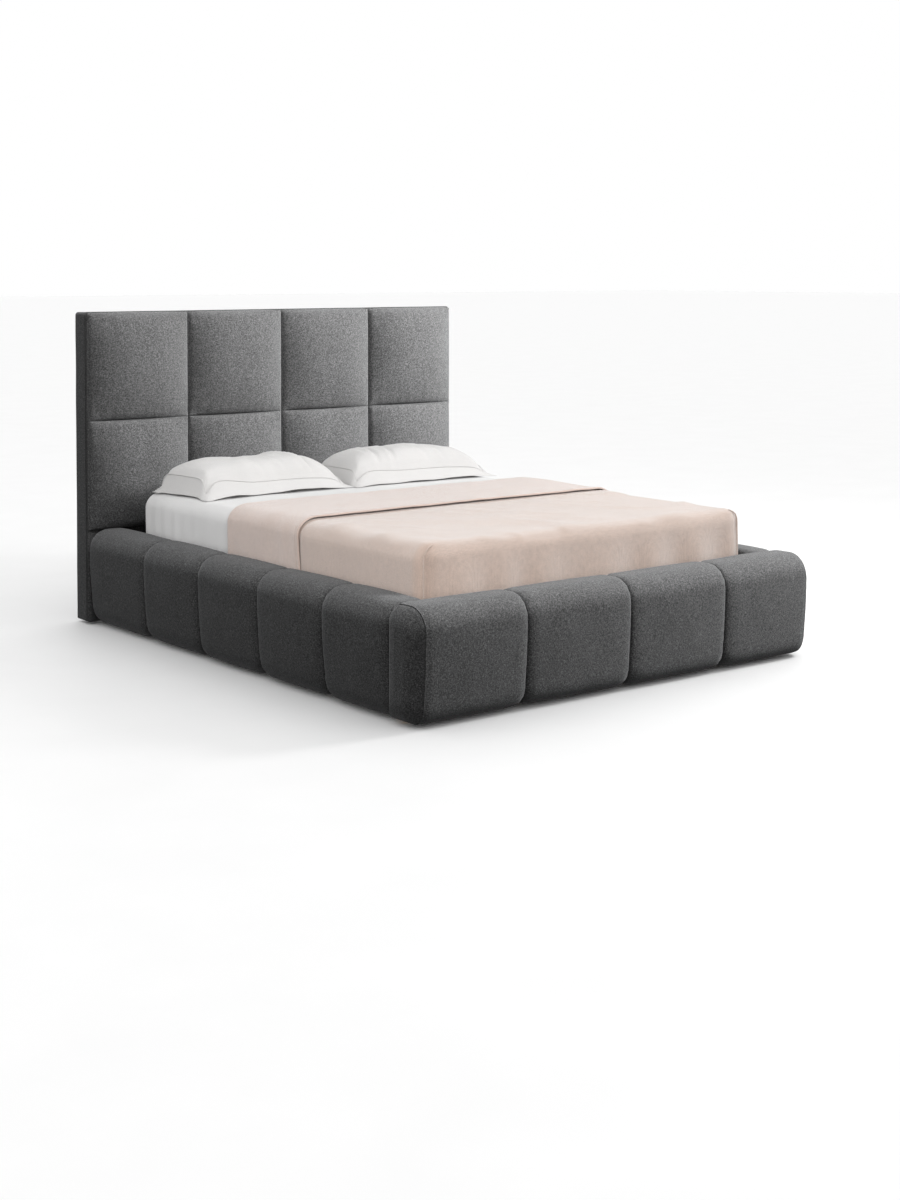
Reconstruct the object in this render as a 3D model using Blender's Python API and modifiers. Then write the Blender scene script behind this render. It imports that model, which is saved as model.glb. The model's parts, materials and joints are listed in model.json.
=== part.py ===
"""Upholstered headboard bed with padded box rails and a lift-up slatted base over a storage box.

Metres, +Z up. The origin is on the floor at the centre of the bed; +Y runs from the foot to the
headboard and +X to the right. Padded rails stand round a storage box, the mattress is sunk into them,
and a four-bar mechanism on each side lifts the slatted base, foot end up.
"""

import bpy
import bmesh
import math
import numpy as np
from mathutils import Matrix, Vector

# ---------------------------------------------------------------- driving sizes
GAP = 0.0003                    # between faces that touch

mattress_width = 1.600
mattress_length = 2.000
mattress_height = 0.254
mattress_edge = 0.035           # rounding of its edges

rail_depth = 0.175              # padded rail, outside face to inside face
rail_height = 0.415             # top of the padding
rail_low_radius = 0.045
rail_top_radius = 0.080
rail_inner_radius = 0.035
core_thickness = 0.036          # board inside each rail
core_height = 0.300
cleat_width = 0.030             # ledge along the bottom of a side core
cleat_height = 0.038
glide_height = 0.012            # lifts the whole bed off the floor
glide_radius = 0.024
side_pad_count = 5
side_pad_pitch = 0.437
side_pad_first = 0.400          # the section next to the foot rail
foot_pad_count = 4
pad_seam = 0.002                # open seam between two padded sections
corner_radius = 0.032           # upright corners at the foot of the bed
foot_core_inset = 0.045         # foot core to the bed's side

headboard_height = 1.360
headboard_thickness = 0.115
headboard_pad_depth = 0.070
headboard_columns = 4
headboard_rows = 2

side_clearance = 0.020          # mattress to rail
foot_clearance = 0.060          # mattress to foot rail
head_clearance = 0.060          # mattress to headboard pads

floor_panel_thickness = 0.012
head_batten_height = 0.080
head_batten_width = 0.040
mount_leg = 0.060
mount_thickness = 0.003
mount_height = 0.160

tube_width = 0.040              # steel tubes of the lifting base
tube_height = 0.050
tube_wall = 0.002
frame_side_clearance = 0.045    # side tube to rail core, room for the mechanism
frame_head_inset = 0.020        # head tube behind the mattress end
frame_top = 0.311
slat_width = 0.068
slat_thickness = 0.012
slat_pitch = 0.138
slat_bearing = 0.030            # how far a slat lies on the side tube
tape_width = 0.024
tape_thickness = 0.0015
stop_length = 0.500
stop_thickness = 0.003
stop_height = 0.100
strap_width = 0.034
strap_length = 0.110
strap_thickness = 0.002
rest_length = 0.100
rest_height = 0.066

# Lift mechanism. Its plane is side-on: `reach` is measured from the pad fronts towards the foot.
platform_opening = 34.0         # degrees, foot end up
main_arm_swing = 23.3           # degrees
link_arm_swing = 44.9           # degrees
main_arm_length = 0.420
main_arm_angle = 163.5          # degrees, closed, from the foot direction
main_pivot_reach = 1.024
main_pivot_height = 0.092
spring_radius_share = 0.7143    # both ends of the gas spring, from the main pivot, in arm lengths
spring_fixed_angle = 181.2      # degrees
spring_spread = 39.5            # degrees between the two ends, closed
arm_thickness = 0.006
arm_radius = 0.018
link_radius = 0.016
lug_radius = 0.013
lug_step = 0.0004               # the lug is a little thinner than the arm it is welded to
plate_thickness = 0.003
bracket_thickness = 0.005
bracket_weld = 0.001            # bracket and studs run this far into what they are welded to
pin_radius = 0.006
pin_head_radius = 0.010
pin_head = 0.002
pin_play = 0.0005
open_pivot_play = 0.0016        # link arm on the base, where the four-bar is left open
running_gap = 0.0006            # side play between flat parts
cylinder_radius = 0.010
cylinder_bore = 0.0055
cylinder_end = 0.038            # closed: cylinder's open end to the rod's eye
rod_radius = 0.004
rod_end = 0.048                 # closed: rod's inner end to the cylinder's eye
eye_radius = 0.0105
eye_width = 0.012
stud_radius = 0.004

coverlet_thickness = 0.010
coverlet_clearance = 0.003
coverlet_foot_clearance = 0.017
coverlet_pillow_gap = 0.272     # coverlet's head end to the pillows
coverlet_hem_height = 0.335

pillow_width = 0.790
pillow_depth = 0.420
pillow_rise = 0.135             # crown above the flange
pillow_sink = 0.035             # flange above the mattress
pillow_gap = 0.012              # between the two pillows
pillow_head_gap = 0.105         # pillow to headboard pads

# ---------------------------------------------------------------- places worked out from them
box_half = mattress_width / 2 + side_clearance
bed_half = box_half + rail_depth
bed_length = (rail_depth + foot_clearance + mattress_length + head_clearance
              + headboard_pad_depth + headboard_thickness)
y_foot = -bed_length / 2
y_head = bed_length / 2
y_box_foot = y_foot + rail_depth
y_board = y_head - headboard_thickness
y_pads = y_board - headboard_pad_depth
y_mattress_head = y_pads - head_clearance
y_mattress_foot = y_mattress_head - mattress_length
z_slats = frame_top + GAP + slat_thickness
z_mattress = z_slats + GAP
z_bed = z_mattress + mattress_height
z_floor_panel = glide_height + cleat_height + GAP + floor_panel_thickness
y_pillow = y_pads - pillow_head_gap - pillow_depth
frame_half = box_half - frame_side_clearance
frame_foot = y_mattress_foot + GAP
frame_head = y_mattress_head - frame_head_inset

spring_radius = spring_radius_share * main_arm_length
spring_closed = 2 * spring_radius * math.sin(math.radians(spring_spread / 2))
cylinder_length = spring_closed - cylinder_end
rod_length = spring_closed - rod_end

# layers across the mechanism, from the base outwards to the rail core
x_bracket = frame_half + bracket_thickness
x_arm = x_bracket + running_gap
x_arm_out = x_arm + arm_thickness
x_link = x_arm_out + 2 * running_gap + pin_head     # the arms cross, with a pin head between them
x_link_out = x_link + arm_thickness
x_plate = box_half - GAP - plate_thickness
x_spring = (x_arm_out + x_plate) / 2

# ---------------------------------------------------------------- scene and collections
for old in list(bpy.data.objects):
    bpy.data.objects.remove(old, do_unlink=True)

bed = bpy.data.collections.new("upholstered_headboard_bed")
cutters = bpy.data.collections.new("cutters")
bpy.context.scene.collection.children.link(bed)
bpy.context.scene.collection.children.link(cutters)


def principled(name, color, roughness, metallic=0.0):
    material = bpy.data.materials.new(name)
    material.use_nodes = True
    shader = material.node_tree.nodes["Principled BSDF"]
    shader.inputs["Base Color"].default_value = (*color, 1.0)
    shader.inputs["Roughness"].default_value = roughness
    shader.inputs["Metallic"].default_value = metallic
    return material


grey_fabric = principled("grey_fabric", (0.21, 0.20, 0.20), 0.95)
timber = principled("timber", (0.55, 0.38, 0.22), 0.6)
panel_board = principled("panel_board", (0.62, 0.60, 0.57), 0.55)
birch = principled("birch", (0.72, 0.55, 0.36), 0.5)
grey_steel = principled("grey_steel", (0.18, 0.18, 0.19), 0.45, 0.6)
zinc_steel = principled("zinc_steel", (0.62, 0.62, 0.64), 0.35, 1.0)
black_steel = principled("black_steel", (0.02, 0.02, 0.02), 0.3, 0.4)
chrome = principled("chrome", (0.8, 0.8, 0.8), 0.12, 1.0)
black_plastic = principled("black_plastic", (0.03, 0.03, 0.03), 0.6)
webbing = principled("webbing", (0.10, 0.10, 0.11), 0.9)
ticking = principled("ticking", (0.82, 0.80, 0.76), 0.9)
linen = principled("linen", (0.60, 0.53, 0.48), 0.9)
white_cotton = principled("white_cotton", (0.85, 0.84, 0.83), 0.85)


# ---------------------------------------------------------------- shape helpers
def add(name, mesh, material, location=(0, 0, 0), rotation=(0, 0, 0), collection=bed):
    shape = bpy.data.objects.new(name, mesh)
    collection.objects.link(shape)
    shape.location = location
    shape.rotation_euler = rotation
    if material:
        mesh.materials.clear()
        mesh.materials.append(material)
    if collection is cutters:
        shape.hide_render = True
        shape.display_type = "WIRE"
    return shape


def box(name, low, high, material, collection=bed):
    """A box between two corners, with its origin at its middle."""
    low, high = Vector(low), Vector(high)
    size = high - low
    mesh = bpy.data.meshes.new(name)
    bm = bmesh.new()
    bmesh.ops.create_cube(bm, size=1.0, matrix=Matrix.Diagonal((*size, 1.0)))
    bm.to_mesh(mesh)
    bm.free()
    return add(name, mesh, material, (low + high) / 2, collection=collection)


def mark_edges(shape, chosen):
    """Gives the edges whose middle passes the test a bevel weight of one."""
    bm = bmesh.new()
    bm.from_mesh(shape.data)
    weight = bm.edges.layers.float.new("bevel_weight_edge")
    for edge in bm.edges:
        middle = (edge.verts[0].co + edge.verts[1].co) / 2
        direction = (edge.verts[1].co - edge.verts[0].co).normalized()
        edge[weight] = 1.0 if chosen(middle, direction) else 0.0
    bm.to_mesh(shape.data)
    bm.free()


def bevel(shape, width, segments, weighted=False):
    modifier = shape.modifiers.new("rounding", "BEVEL")
    modifier.width = width
    modifier.segments = segments
    modifier.limit_method = "WEIGHT" if weighted else "ANGLE"
    modifier.harden_normals = False
    return modifier


def combine(shape, other, operation):
    modifier = shape.modifiers.new(operation.lower() + "_" + other.name, "BOOLEAN")
    modifier.operation = operation
    modifier.solver = "EXACT"
    modifier.object = other


def smooth(shape, angle=35.0):
    shape.data.shade_smooth()
    shape.data.set_sharp_from_angle(angle=math.radians(angle))


def cylinder(name, start, end, radius, material, sides=20, collection=bed):
    """A cylinder between two points."""
    start, end = Vector(start), Vector(end)
    mesh = bpy.data.meshes.new(name)
    bm = bmesh.new()
    bmesh.ops.create_cone(bm, cap_ends=True, segments=sides, radius1=radius, radius2=radius,
                          depth=(end - start).length)
    bm.to_mesh(mesh)
    bm.free()
    shape = add(name, mesh, material, (start + end) / 2, collection=collection)
    shape.rotation_euler = Vector((0, 0, 1)).rotation_difference(end - start).to_euler()
    smooth(shape)
    return shape


def arc(centre, radius, start, end, steps=5):
    """Points round an arc, angles in degrees."""
    angles = [math.radians(start + (end - start) * i / steps) for i in range(steps + 1)]
    return [(centre[0] + radius * math.cos(a), centre[1] + radius * math.sin(a)) for a in angles]


def hull(circles, steps=24):
    """The outline of a band stretched round some circles: (centre, radius) each."""
    points = set()
    for (cx, cy), radius in circles:
        for i in range(steps):
            a = 2 * math.pi * i / steps
            points.add((cx + radius * math.cos(a), cy + radius * math.sin(a)))
    points = sorted(points)

    def turn(o, a, b):
        return (a[0] - o[0]) * (b[1] - o[1]) - (a[1] - o[1]) * (b[0] - o[0])

    def half(ordered):
        chain = []
        for p in ordered:
            while len(chain) > 1 and turn(chain[-2], chain[-1], p) <= 1e-12:
                chain.pop()
            chain.append(p)
        return chain[:-1]

    return half(points) + half(points[::-1])


ALONG_X = (math.pi / 2, 0, math.pi / 2)     # outline in (y, z), thickness along x
ALONG_Y = (math.pi / 2, 0, 0)               # outline in (x, z), thickness along y
ALONG_Z = (0, 0, 0)                         # outline in (x, y), thickness along z


def sheet(name, outline, thickness, material, middle, rotation, holes=(), collection=bed):
    """A flat outline made solid, half its thickness each side of `middle`."""
    curve = bpy.data.curves.new(name, "CURVE")
    curve.dimensions = "2D"
    curve.fill_mode = "BOTH"
    curve.extrude = thickness / 2
    for loop in (outline, *holes):
        spline = curve.splines.new("POLY")
        spline.points.add(len(loop) - 1)
        for point, (u, v) in zip(spline.points, loop):
            point.co = (u, v, 0.0, 1.0)
        spline.use_cyclic_u = True
    flat = bpy.data.objects.new(name + "_outline", curve)
    cutters.objects.link(flat)
    bpy.context.view_layer.update()
    evaluated = flat.evaluated_get(bpy.context.evaluated_depsgraph_get())
    mesh = bpy.data.meshes.new_from_object(evaluated)
    mesh.name = name
    bpy.data.objects.remove(flat, do_unlink=True)
    bm = bmesh.new()
    bm.from_mesh(mesh)
    bmesh.ops.remove_doubles(bm, verts=bm.verts, dist=0.00001)
    bmesh.ops.recalc_face_normals(bm, faces=bm.faces)
    bm.to_mesh(mesh)
    bm.free()
    shape = add(name, mesh, material, middle, rotation, collection=collection)
    smooth(shape)
    return shape


def circle(centre, radius, steps=20):
    return arc(centre, radius, 0, 360 * (steps - 1) / steps, steps - 1)


def pin(name, y, z, x_weld, x_end, x_head, side):
    """A headed stud across the bed, welded at x_weld, for uniting with a plate."""
    shaft = cylinder(name, (side * x_weld, y, z), (side * (x_end + x_head) / 2, y, z), pin_radius, None,
                     collection=cutters)
    head = cylinder(name + "_head", (side * x_end, y, z), (side * x_head, y, z), pin_head_radius,
                    None, collection=cutters)
    return shaft, head


# ---------------------------------------------------------------- headboard
def make_headboard():
    board = box("headboard_panel", (-bed_half, y_board, glide_height),
                (bed_half, y_head, headboard_height), grey_fabric)
    bevel(board, 0.008, 2)
    z_low = rail_height + GAP
    column = 2 * bed_half / headboard_columns
    row = (headboard_height - z_low) / headboard_rows
    rounding = headboard_pad_depth * 0.6
    for r, level in zip(range(headboard_rows), ("lower", "upper")):
        for c in range(headboard_columns):
            x = -bed_half + c * column
            z = z_low + r * row
            pad = box(f"headboard_pad_{level}_{c + 1}",
                      (x + pad_seam / 2, y_pads, z + pad_seam / 2),
                      (x + column - pad_seam / 2, y_board - GAP, z + row - pad_seam / 2), grey_fabric)
            mark_edges(pad, lambda middle, way: middle.y < -0.001 and abs(way.y) < 0.5)
            bevel(pad, rounding, 3, weighted=True)


# ---------------------------------------------------------------- rails
def rail_outline():
    """Section of a padded rail: outside at u = 0, inside at u = rail_depth, v upwards."""
    low, high, inner = rail_low_radius, rail_top_radius, rail_inner_radius
    points = arc((low, glide_height + low), low, 180, 270)
    points += [(rail_depth, glide_height)]
    points += arc((rail_depth - inner, rail_height - inner), inner, 0, 90)
    points += arc((high, rail_height - high), high, 90, 180)
    return points


def pocketed(shape, low, high):
    """Cuts the space of a core out of a padded section."""
    margin = GAP
    pocket = box(shape.name + "_pocket", [v - margin for v in low], [v + margin for v in high],
                 None, collection=cutters)
    combine(shape, pocket, "DIFFERENCE")


def make_side_rails():
    y_start = y_box_foot + GAP
    y_stop = y_board - GAP
    seams = [y_start, y_foot + rail_depth + side_pad_first]
    while len(seams) < side_pad_count:
        seams.append(seams[-1] + side_pad_pitch)
    seams.append(y_stop)
    for side, word in ((-1, "left"), (1, "right")):
        low = (box_half, y_start, glide_height)
        high = (box_half + core_thickness, y_stop, core_height)
        outline = [(box_half, glide_height), (box_half, core_height),
                   (box_half + core_thickness, core_height), (box_half + core_thickness, glide_height)]
        outline[0:1] = [(box_half - cleat_width, glide_height),
                        (box_half - cleat_width, glide_height + cleat_height),
                        (box_half, glide_height + cleat_height)]
        sheet(f"side_rail_core_{word}", [(side * u, v) for u, v in outline], y_stop - y_start, timber,
              (0, (y_start + y_stop) / 2, 0), ALONG_Y)
        for i in range(side_pad_count):
            start = seams[i] + (pad_seam / 2 if i else 0)
            stop = seams[i + 1] - (pad_seam / 2 if i + 1 < side_pad_count else 0)
            section = [(side * (bed_half - u), v) for u, v in rail_outline()]
            pad = sheet(f"side_rail_pad_{word}_{i + 1}", section, stop - start, grey_fabric,
                        (0, (start + stop) / 2, 0), ALONG_Y)
            inner, outer = sorted((side * (low[0] - 0.01), side * high[0]))
            pocketed(pad, (inner, start - 0.01, low[2] - 0.01), (outer, stop + 0.01, high[2]))
        for end, y in (("foot", y_start + 0.10), ("head", y_stop - 0.08)):
            x = side * (box_half + core_thickness / 2 - 0.01)
            cylinder(f"glide_{word}_{end}", (x, y, 0), (x, y, glide_height - GAP), glide_radius,
                     black_plastic)


def make_foot_rail():
    core_half = bed_half - foot_core_inset
    y_core = y_box_foot - core_thickness
    box("foot_rail_core", (-core_half, y_core, glide_height), (core_half, y_box_foot, core_height),
        timber)
    width = 2 * bed_half / foot_pad_count
    for i in range(foot_pad_count):
        x = -bed_half + i * width
        start = x + (pad_seam / 2 if i else 0)
        stop = x + width - (pad_seam / 2 if i + 1 < foot_pad_count else 0)
        section = [(y_foot + u, v) for u, v in rail_outline()]
        pad = sheet(f"foot_rail_pad_{i + 1}", section, stop - start, grey_fabric,
                    ((start + stop) / 2, 0, 0), ALONG_X)
        outer = {0: -1, foot_pad_count - 1: 1}.get(i)
        if outer:
            at_end = (stop - start) / 2 - 0.001
            mark_edges(pad, lambda middle, way: outer * middle.z > at_end and abs(way.z) < 0.5)
            bevel(pad, corner_radius, 3, weighted=True)
        pocketed(pad, (-core_half, y_core, glide_height - 0.01), (core_half, y_box_foot + 0.01, core_height))


# ---------------------------------------------------------------- inside the box
def make_box_parts():
    z_panel = glide_height + cleat_height + GAP
    for side, word in ((-1, "left"), (1, "right")):
        x_low, x_high = sorted((side * 0.0005, side * (box_half - GAP)))
        box(f"floor_panel_{word}", (x_low, y_box_foot + GAP, z_panel),
            (x_high, y_board - GAP, z_floor_panel), panel_board)
        corner = (side * (box_half - GAP), y_board - GAP)
        inner = corner[0] - side * mount_thickness
        mount = [corner, (corner[0] - side * mount_leg, corner[1]),
                 (corner[0] - side * mount_leg, corner[1] - mount_thickness),
                 (inner, corner[1] - mount_thickness), (inner, corner[1] - mount_leg),
                 (corner[0], corner[1] - mount_leg)]
        z_mount = z_floor_panel + 0.04
        sheet(f"headboard_mount_{word}", mount, mount_height, zinc_steel,
              (0, 0, z_mount + mount_height / 2), ALONG_Z)
        x_low, x_high = sorted((side * 0.60, side * 0.70))
        z_rest = frame_top - tube_height - GAP
        box(f"foot_rest_{word}", (x_low, y_box_foot + GAP, z_rest - rest_height),
            (x_high, y_box_foot + rest_length, z_rest), timber)
    half = box_half - mount_leg - 0.005
    box("head_batten", (-half, y_board - GAP - head_batten_width, z_floor_panel + GAP),
        (half, y_board - GAP, z_floor_panel + GAP + head_batten_height), timber)


# ---------------------------------------------------------------- four-bar lift
def four_bar():
    """Places of the lift's pivots, closed, as (y, z).

    The base turns by platform_opening while the main arm and the link arm swing the other way in
    fixed ratios. The link arm's two pivots are where the loop closes exactly in three positions:
    closed, half open and open.
    """
    lift = math.radians(platform_opening)
    main = -math.radians(main_arm_swing)
    link = -math.radians(link_arm_swing)
    steps = (0.0, 0.5, 1.0)
    rows = np.array([[np.exp(1j * lift * t), -1.0, -np.exp(1j * link * t)] for t in steps])
    known = -np.array([np.exp(1j * main * t) for t in steps])
    coupler, ground, arm = np.linalg.solve(rows, known)
    main_arm = main_arm_length * np.exp(1j * math.radians(main_arm_angle))
    main_fixed = main_pivot_reach + 1j * main_pivot_height
    main_moving = main_fixed + main_arm
    link_moving = main_moving + coupler * main_arm
    link_fixed = main_fixed + ground * main_arm
    spring_fixed = main_fixed + spring_radius * np.exp(1j * math.radians(spring_fixed_angle))
    spring_moving = main_fixed + spring_radius * np.exp(1j * math.radians(spring_fixed_angle - spring_spread))
    spots = dict(main_fixed=main_fixed, main_moving=main_moving, link_fixed=link_fixed,
                 link_moving=link_moving, spring_fixed=spring_fixed, spring_moving=spring_moving)
    return {name: (y_pads - spot.real, spot.imag) for name, spot in spots.items()}


def relative(point, origin):
    return (point[0] - origin[0], point[1] - origin[1])


def make_lift(side, word, spots):
    def across(low, high):
        return side * (low + high) / 2

    main_fixed, main_moving = spots["main_fixed"], spots["main_moving"]
    link_fixed, link_moving = spots["link_fixed"], spots["link_moving"]
    spring_fixed, spring_moving = spots["spring_fixed"], spots["spring_moving"]
    stud_end = x_spring - eye_width / 2 - 0.002

    # base plate on the rail core, with the fixed pivots' pins and the gas spring's lower stud
    outline = hull([(main_fixed, 0.020), (link_fixed, 0.020), (spring_fixed, 0.016)])
    plate = sheet(f"lift_base_plate_{word}", outline, plate_thickness, grey_steel,
                  (across(x_plate, x_plate + plate_thickness), 0, 0), ALONG_X)
    for label, spot, face in (("main", main_fixed, x_arm), ("link", link_fixed, x_link)):
        end = face - running_gap
        for piece in pin(f"{label}_pin_{word}", *spot, x_plate + bracket_weld, end, end - pin_head, side):
            combine(plate, piece, "UNION")
    stud = cylinder(f"spring_stud_{word}", (side * (x_plate + bracket_weld), *spring_fixed),
                    (side * stud_end, *spring_fixed), stud_radius, None, collection=cutters)
    combine(plate, stud, "UNION")

    # main arm, turning about its fixed pivot, with the lug and stud that the gas spring pushes
    origin = main_fixed
    end = relative(main_moving, origin)
    lug = relative(spring_moving, origin)
    along = Vector(end).normalized()
    foot = along * along.dot(Vector(lug))
    arm = sheet(f"main_arm_{word}", hull([((0, 0), arm_radius), (end, arm_radius)]), arm_thickness,
                grey_steel, (across(x_arm, x_arm_out), *origin), ALONG_X,
                holes=[circle((0, 0), pin_radius + pin_play), circle(end, pin_radius + pin_play)])
    lug_plate = sheet(f"arm_lug_{word}", hull([(lug, lug_radius), (tuple(foot), arm_radius - 0.004)]),
                      arm_thickness - lug_step, None, (across(x_arm, x_arm_out), *origin), ALONG_X,
                      collection=cutters)
    combine(arm, lug_plate, "UNION")
    stud = cylinder(f"arm_stud_{word}", (side * (x_arm_out - bracket_weld), *spring_moving),
                    (side * (x_spring + eye_width / 2 + 0.002), *spring_moving), stud_radius, None,
                    collection=cutters)
    combine(arm, stud, "UNION")

    # link arm, turning about its own fixed pivot, outside the main arm
    origin = link_fixed
    end = relative(link_moving, origin)
    sheet(f"link_arm_{word}", hull([((0, 0), link_radius), (end, link_radius)]), arm_thickness,
          grey_steel, (across(x_link, x_link_out), *origin), ALONG_X,
          holes=[circle((0, 0), pin_radius + pin_play), circle(end, pin_radius + open_pivot_play)])

    make_gas_spring(side, word, spring_fixed, spring_moving)


def eye(shape, name, centre, x, side):
    """Adds a ring round `centre` to a shape and cuts its hole."""
    low, high = side * (x - eye_width / 2), side * (x + eye_width / 2)
    ring = cylinder(name + "_ring", (low, *centre), (high, *centre), eye_radius, None, collection=cutters)
    combine(shape, ring, "UNION")
    low, high = side * (x - eye_width), side * (x + eye_width)
    hole = cylinder(name + "_hole", (low, *centre), (high, *centre), stud_radius + pin_play, None,
                    collection=cutters)
    combine(shape, hole, "DIFFERENCE")


def make_gas_spring(side, word, fixed, moving):
    way = (Vector(moving) - Vector(fixed)).normalized()
    x = side * x_spring

    def spot(start, distance):
        return (x, start[0] + way.x * distance, start[1] + way.y * distance)

    neck = eye_radius * 0.6
    tube = cylinder(f"gas_cylinder_{word}", spot(fixed, neck), spot(fixed, cylinder_length),
                    cylinder_radius, black_steel, sides=24)
    bore = cylinder(f"gas_bore_{word}", spot(fixed, 0.028), spot(fixed, cylinder_length + 0.01),
                    cylinder_bore, None, collection=cutters)
    combine(tube, bore, "DIFFERENCE")
    eye(tube, f"cylinder_eye_{word}", fixed, x_spring, side)
    rod = cylinder(f"gas_rod_{word}", spot(moving, -neck), spot(moving, -rod_length), rod_radius, chrome)
    eye(rod, f"rod_eye_{word}", moving, x_spring, side)


# ---------------------------------------------------------------- lifting base
def tube(name, low, high, axis, material):
    """A steel tube with open ends, as an open four-sided shell made solid inwards."""
    shape = box(name, low, high, material)
    bm = bmesh.new()
    bm.from_mesh(shape.data)
    ends = [face for face in bm.faces if abs(face.normal[axis]) > 0.9]
    bmesh.ops.delete(bm, geom=ends, context="FACES_ONLY")
    bm.to_mesh(shape.data)
    bm.free()
    wall = shape.modifiers.new("wall", "SOLIDIFY")
    wall.thickness = tube_wall
    wall.offset = -1.0
    wall.use_even_offset = True
    return shape


def make_base_frame(spots):
    z_low = frame_top - tube_height
    for side, word in ((-1, "left"), (1, "right")):
        x_low, x_high = sorted((side * (frame_half - tube_width), side * frame_half))
        rail = tube(f"base_tube_{word}", (x_low, frame_foot, z_low), (x_high, frame_head, frame_top), 1,
                    grey_steel)
        main, link = spots["main_moving"], spots["link_moving"]
        top = frame_top - 0.010
        outline = hull([(main, arm_radius), (link, arm_radius), ((main[0] - 0.02, top), 0.006),
                        ((link[0] + 0.02, top), 0.006)])
        x_weld = frame_half - bracket_weld
        bracket = sheet(f"pivot_bracket_{word}", outline, x_bracket - x_weld, None,
                        (side * (x_bracket + x_weld) / 2, 0, 0), ALONG_X, collection=cutters)
        combine(rail, bracket, "UNION")
        for label, point, face in (("main", main, x_arm_out), ("link", link, x_link_out)):
            end = face + running_gap
            for piece in pin(f"base_{label}_pin_{word}", *point, x_bracket - bracket_weld, end,
                             end + pin_head, side):
                combine(rail, piece, "UNION")
    inner = frame_half - tube_width - GAP
    tube("base_tube_head", (-inner, frame_head - tube_width, z_low), (inner, frame_head, frame_top), 0,
         grey_steel)
    tube("base_tube_foot", (-inner, frame_foot, z_low), (inner, frame_foot + tube_width, frame_top), 0,
         grey_steel)
    tube("base_spine", (-tube_width / 2, frame_foot + tube_width + GAP, z_low),
         (tube_width / 2, frame_head - tube_width - GAP, frame_top), 1, grey_steel)


def make_slats():
    first = frame_foot + tube_width + 0.012
    room = frame_head - tube_width - 0.012 - first - slat_width
    count = int(room / slat_pitch) + 1
    spare = room - (count - 1) * slat_pitch
    first += spare / 2
    z_low = frame_top + GAP
    x_near, x_far = 0.001, frame_half - tube_width + slat_bearing
    for side, word in ((-1, "left"), (1, "right")):
        x_low, x_high = sorted((side * x_near, side * x_far))
        bank = box(f"slat_bank_{word}", (x_low, first, z_low),
                   (x_high, first + slat_width, z_low + slat_thickness), birch)
        row = bank.modifiers.new("row", "ARRAY")
        row.count = count
        row.use_relative_offset = False
        row.use_constant_offset = True
        row.constant_offset_displace = (0, slat_pitch, 0)
        row.merge_threshold = 0.0001
        for i, share in enumerate((0.3, 0.75)):
            x = side * (x_near + (x_far - x_near) * share)
            tape = box(f"slat_tape_{word}_{i + 1}",
                       (x - tape_width / 2, first + 0.010, z_low - tape_thickness / 2),
                       (x + tape_width / 2, first + (count - 1) * slat_pitch + slat_width - 0.010,
                        z_low + tape_thickness / 2), None, collection=cutters)
            combine(bank, tape, "UNION")


def make_base_fittings():
    y_face = frame_foot - GAP
    z_stop = frame_top - tube_height + 0.005
    box("mattress_stop", (-stop_length / 2, y_face - stop_thickness, z_stop),
        (stop_length / 2, y_face, z_stop + stop_height), grey_steel)
    y_strap = y_face - stop_thickness - GAP
    radius = strap_width / 2
    z_top = z_stop + stop_height * 0.5
    outline = arc((0, z_top - strap_length + radius), radius, 180, 360, 8)
    outline += [(radius, z_top), (-radius, z_top)]
    sheet("pull_strap", outline, strap_thickness, webbing, (0, y_strap - strap_thickness / 2, 0), ALONG_Y)


# ---------------------------------------------------------------- mattress and bedding
def make_mattress():
    half = mattress_width / 2
    mattress = box("mattress", (-half, y_mattress_foot + GAP, z_mattress), (half, y_mattress_head, z_bed),
                   ticking)
    bevel(mattress, mattress_edge, 3)
    smooth(mattress)


def make_coverlet():
    """An open shell over the foot end: top, two sides and foot drop, lying clear of the mattress."""
    half = mattress_width / 2 + coverlet_clearance
    low = (-half, y_mattress_foot - coverlet_foot_clearance, coverlet_hem_height)
    high = (half, y_pillow - coverlet_pillow_gap, z_bed + coverlet_clearance)
    cover = box("coverlet", low, high, linen)
    bm = bmesh.new()
    bm.from_mesh(cover.data)
    openings = [face for face in bm.faces if face.normal.z < -0.9 or face.normal.y > 0.9]
    bmesh.ops.delete(bm, geom=openings, context="FACES_ONLY")
    bm.to_mesh(cover.data)
    bm.free()
    mark_edges(cover, lambda middle, way: middle.z > 0 and abs(way.z) < 0.5 and (abs(middle.x) > 0.1 or
                                                                               middle.y < 0))
    bevel(cover, mattress_edge, 3, weighted=True)
    cloth = cover.modifiers.new("cloth", "SOLIDIFY")
    cloth.thickness = coverlet_thickness
    cloth.offset = 1.0
    cloth.use_even_offset = True
    smooth(cover)


def make_pillow(name, x_middle):
    """A soft block: a sphere drawn out towards its four corners, flatter below the flange."""
    mesh = bpy.data.meshes.new(name)
    bm = bmesh.new()
    bmesh.ops.create_uvsphere(bm, u_segments=28, v_segments=12, radius=1.0)
    square, crown = 0.42, 0.75
    for vert in bm.verts:
        x, y, z = vert.co
        ring = math.hypot(x, y)
        bulge = ring ** crown if ring > 1e-9 else 0.0
        cx, cy = (x / ring, y / ring) if ring > 1e-9 else (0.0, 0.0)
        vert.co.x = bulge * math.copysign(abs(cx) ** square, cx) * pillow_width / 2
        vert.co.y = bulge * math.copysign(abs(cy) ** square, cy) * pillow_depth / 2
        vert.co.z = math.copysign(abs(z) ** crown, z) * (pillow_rise if z > 0 else pillow_sink)
    bmesh.ops.recalc_face_normals(bm, faces=bm.faces)
    bm.to_mesh(mesh)
    bm.free()
    place = (x_middle, y_pillow + pillow_depth / 2, z_bed + pillow_sink + 0.001)
    pillow = add(name, mesh, white_cotton, place)
    smooth(pillow, 60)


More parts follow.
